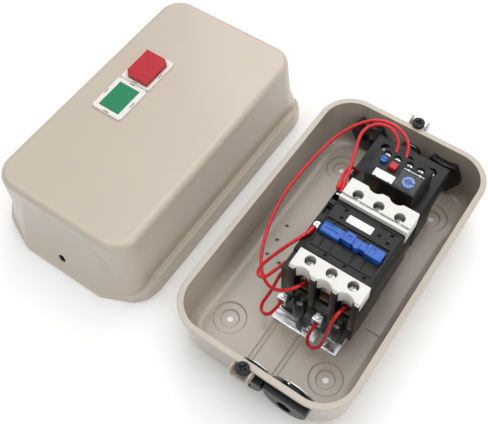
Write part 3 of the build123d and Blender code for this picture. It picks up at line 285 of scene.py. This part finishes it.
# Each finish: its recipe, its colour, its lowest and highest roughness, and then what only its
# recipe takes. A plastic takes its grain, its spread of tone and, where it isn't usual, its
# specular level. A metal takes its spread of tone and, if it has one, its noise's stretch.
FINISHES = {
    "tray_paint": (paint, (0.46, 0.40, 0.335), 0.22, 0.27),
    "cover_paint": (paint, (0.505, 0.435, 0.362), 0.30, 0.35),
    "zinc": (metal, (0.74, 0.76, 0.77), 0.30, 0.38, 0.02),
    "steel": (metal, (0.60, 0.60, 0.61), 0.26, 0.36, 0.03),
    "iron": (metal, (0.16, 0.16, 0.165), 0.35, 0.55, 0.10, (1, 1, 12)),
    "copper": (metal, (0.40, 0.235, 0.145), 0.32, 0.46, 0.10),
    "black_plastic": (plastic, (0.0075, 0.0076, 0.008), 0.34, 0.44, 0.05, 0.03, 0.32),
    "white_plastic": (plastic, (0.70, 0.69, 0.655), 0.36, 0.46, 0.05, 0.015),
    "blue_plastic": (plastic, (0.018, 0.105, 0.46), 0.24, 0.32, 0.03, 0.03),
    "red_plastic": (plastic, (0.42, 0.009, 0.018), 0.26, 0.34, 0.03, 0.02),
    "green_plastic": (plastic, (0.006, 0.205, 0.082), 0.26, 0.34, 0.03, 0.02),
    "clear": (clear, (0.34, 0.36, 0.38), 0.015, 0.03),
    "label": (plastic, (0.83, 0.83, 0.81), 0.45, 0.55, 0.03, 0.01),
    "rubber": (plastic, (0.0055, 0.0055, 0.006), 0.34, 0.44, 0.08, 0.03, 0.4),
    "red_sheath": (plastic, (0.62, 0.013, 0.022), 0.24, 0.32, 0.02, 0.03),
    "coil_tape": (windings, (0.62, 0.30, 0.14), 0.25, 0.4),
}
MATERIALS = {name: recipe(name, *values) for name, (recipe, *values) in FINISHES.items()}


def put_material(piece, slot):
    """The finish of one record slot on the whole of a piece."""
    piece.data.materials.clear()
    piece.data.materials.append(MATERIALS[slot])


def finish_cad_nodes():
    """Every CAD node gets the finish of its slot."""
    for node, slot in SLOT_OF.items():
        put_material(NODES[node], slot)


def add_object(name, data):
    """A new object in the scene."""
    piece = bpy.data.objects.new(name, data)
    bpy.context.scene.collection.objects.link(piece)
    return piece


# ---------------------------------------------------------------- rounded edges

def cleaned_mesh(source):
    """A copy of a CAD mesh with its points merged and its flat faces joined, shaded smooth."""
    mesh = source.data.copy()
    form = bmesh.new()
    form.from_mesh(mesh)
    bmesh.ops.remove_doubles(form, verts=form.verts, dist=MERGE_DISTANCE_M)
    bmesh.ops.dissolve_limit(form, angle_limit=math.radians(FLAT_ANGLE), verts=form.verts,
                             edges=form.edges)
    for face in form.faces:
        face.smooth = True
    form.to_mesh(mesh)
    form.free()
    return mesh


def soften(node, width):
    """A copy of a CAD node with its hard edges rounded over, standing in for it."""
    source = NODES[node]
    piece = add_object(node + "_soft", cleaned_mesh(source))
    piece.matrix_world = source.matrix_world.copy()
    bevel = piece.modifiers.new("edge", "BEVEL")
    bevel.width = width * MM
    bevel.segments = EDGE_SEGMENTS
    bevel.limit_method = "ANGLE"
    bevel.angle_limit = math.radians(EDGE_ANGLE)
    bevel.harden_normals = True
    put_material(piece, SLOT_OF[node])
    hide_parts(node)
    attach(piece, BODY_OF[node])


def soften_edges():
    """Rounds the edges of every piece in SOFT_EDGES."""
    for node, width in SOFT_EDGES.items():
        soften(node, width)


# ---------------------------------------------------------------- control wires

def route_curve(name, points, diameter):
    """A round cord on one smooth curve that takes the route's points as its controls."""
    data = bpy.data.curves.new(name, "CURVE")
    data.dimensions = "3D"
    spline = data.splines.new("NURBS")
    spline.points.add(len(points) - 1)
    for point, place in zip(spline.points, points):
        point.co = (*[v * MM for v in place], 1)
    spline.order_u = CURVE_ORDER
    spline.use_endpoint_u = True
    spline.resolution_u = CURVE_STEPS
    data.bevel_depth = diameter * MM / 2
    data.bevel_resolution = SECTION_STEPS
    data.use_fill_caps = True
    return add_object(name, data)


def curve_length(piece):
    """Length in metres of a curve's own line."""
    bare = piece.copy()
    bare.data = piece.data.copy()
    bare.data.bevel_depth = 0
    mesh = bpy.data.meshes.new_from_object(bare)
    line = [v.co for v in mesh.vertices]
    length = sum((b - a).length for a, b in zip(line, line[1:]))
    bpy.data.objects.remove(bare)
    bpy.data.meshes.remove(mesh)
    return length


def control_wires():
    """The six red wires between the relay, the coil and the terminals."""
    for node, points in WIRES.items():
        piece = route_curve(node + "_run", points, WIRE_D)
        put_material(piece, "red_sheath")
        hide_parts(node)
        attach(piece, "base")
        curve_length(piece)


# ---------------------------------------------------------------- small details

def mesh_piece(name, verts, faces, slot, body):
    """A mesh object from points in millimetres, riding one body."""
    mesh = bpy.data.meshes.new(name)
    mesh.from_pydata([[v * MM for v in vert] for vert in verts], [], faces)
    mesh.validate()
    piece = add_object(name, mesh)
    put_material(piece, slot)
    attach(piece, body)
    return piece


def add_box(verts, faces, middle, size, place=Matrix()):
    """Adds a closed box to lists of points and faces, carried by a matrix to its place."""
    base = len(verts)
    for corner in BOX_CORNERS:
        verts.append(place @ Vector([m + c * s for m, c, s in zip(middle, corner, size)]))
    for face in BOX_FACES:
        faces.append(tuple(base + corner for corner in face))


def sleeve_verts(start, end):
    """The points of one sleeve, ring after ring."""
    start, run = Vector(start), Vector(end) - Vector(start)
    across = run.cross(Vector((0, 0, 1))).normalized()
    up = across.cross(run).normalized()
    verts = []
    for along, radius in SLEEVE_RINGS:
        for k in range(SLEEVE_SIDES):
            turn = 2 * math.pi * k / SLEEVE_SIDES
            outward = across * math.cos(turn) + up * math.sin(turn)
            verts.append(start + run * along + outward * radius)
    return verts


def sleeve_faces():
    """The faces between a sleeve's rings, with its last ring joined to its first."""
    rings = len(SLEEVE_RINGS)
    faces = []
    for row in range(rings):
        for k in range(SLEEVE_SIDES):
            after, next_row = (k + 1) % SLEEVE_SIDES, (row + 1) % rings
            faces.append((row * SLEEVE_SIDES + k, row * SLEEVE_SIDES + after,
                          next_row * SLEEVE_SIDES + after, next_row * SLEEVE_SIDES + k))
    return faces


def wire_sleeves():
    """Short thick sleeves over the wires' ends."""
    for name, (start, end) in SLEEVES.items():
        piece = mesh_piece("sleeve_" + name, sleeve_verts(start, end), sleeve_faces(),
                           "red_sheath", "base")
        for polygon in piece.data.polygons:
            polygon.use_smooth = True


def dial_marks():
    """White scale marks printed round the setting dial."""
    verts, faces = [], []
    for k in range(MARK_COUNT):
        place = (Matrix.Translation((*DIAL_AXIS, DIAL_TOP + MARK_LIFT))
                 @ Matrix.Rotation(math.radians(MARK_START + k * MARK_STEP), 4, "Z"))
        add_box(verts, faces, (MARK_REACH, 0, 0), MARK_SIZE, place)
    mesh_piece("dial_marks", verts, faces, "label", "dial")


def painted_slot_shade():
    """Dark boxes painted as shade at the bottom of the slots in both button frames."""
    verts, faces = [], []
    z = FRAME_TOP - SHADE_DEPTH
    for x, y in FRAME_MIDDLES:
        for side in (-1, 1):
            add_box(verts, faces, (x + side * SLOT_AWAY_X, y, z),
                    (SHADE_WIDTH, SHADE_LENGTH, SHADE_HEIGHT))
            add_box(verts, faces, (x, y + side * SLOT_AWAY_Y, z),
                    (SHADE_LENGTH, SHADE_WIDTH, SHADE_HEIGHT))
    # These black boxes paint the shade at the bottom of the frame slots
    mesh_piece("painted_slot_shade", verts, faces, "black_plastic", "cover")


# ---------------------------------------------------------------- floor, light and camera

def floor():
    """A plain pale floor under everything."""
    mesh = bpy.data.meshes.new("floor")
    reach = FLOOR_REACH_M
    corners = [(-reach, -reach, 0), (reach, -reach, 0), (reach, reach, 0), (-reach, reach, 0)]
    mesh.from_pydata(corners, [], [(0, 1, 2, 3)])
    piece = add_object("floor", mesh)
    m = Nodes("floor")
    m.colour(FLOOR_COLOUR, spread=0.003, scale=2.0)
    m.roughness(0.75, 0.8, scale=5.0)
    mesh.materials.append(m.material)


def area_light(name, place, size, power):
    """A soft panel that faces the middle of the object."""
    data = bpy.data.lights.new(name, "AREA")
    data.shape = "RECTANGLE"
    data.size, data.size_y = size
    data.energy = power
    light = add_object(name, data)
    light.location = place
    aim = Vector(LIGHT_AIM_M) - light.location
    light.rotation_euler = aim.to_track_quat("-Z", "Y").to_euler()


def lights():
    """Soft light, mostly from above and behind."""
    world = bpy.data.worlds.new("studio")
    world.use_nodes = True
    background = world.node_tree.nodes["Background"]
    background.inputs["Color"].default_value = (1.0, 1.0, 1.0, 1)
    background.inputs["Strength"].default_value = WORLD_STRENGTH
    bpy.context.scene.world = world
    for name, (place, size, power) in LIGHTS.items():
        area_light(name, place, size, power)


def camera():
    """The camera, at the eye point, looking down along its azimuth and elevation."""
    data = bpy.data.cameras.new("camera")
    data.sensor_width = SENSOR_WIDTH
    data.lens = LENS
    data.shift_x, data.shift_y = SHIFT
    data.clip_start = CLIP_START_M
    eye = add_object("camera", data)
    turn = (Matrix.Rotation(math.radians(AZIMUTH), 4, "Z")
            @ Matrix.Rotation(math.radians(90 - ELEVATION), 4, "X")
            @ Matrix.Rotation(math.radians(ROLL), 4, "Z"))
    eye.matrix_world = Matrix.Translation([v * MM for v in EYE]) @ turn
    bpy.context.scene.camera = eye


bpy.context.scene.view_settings.view_transform = "Standard"
finish_cad_nodes()
soften_edges()
control_wires()
wire_sleeves()
dial_marks()
painted_slot_shade()
floor()
lights()
camera()
bpy.context.view_layer.update()
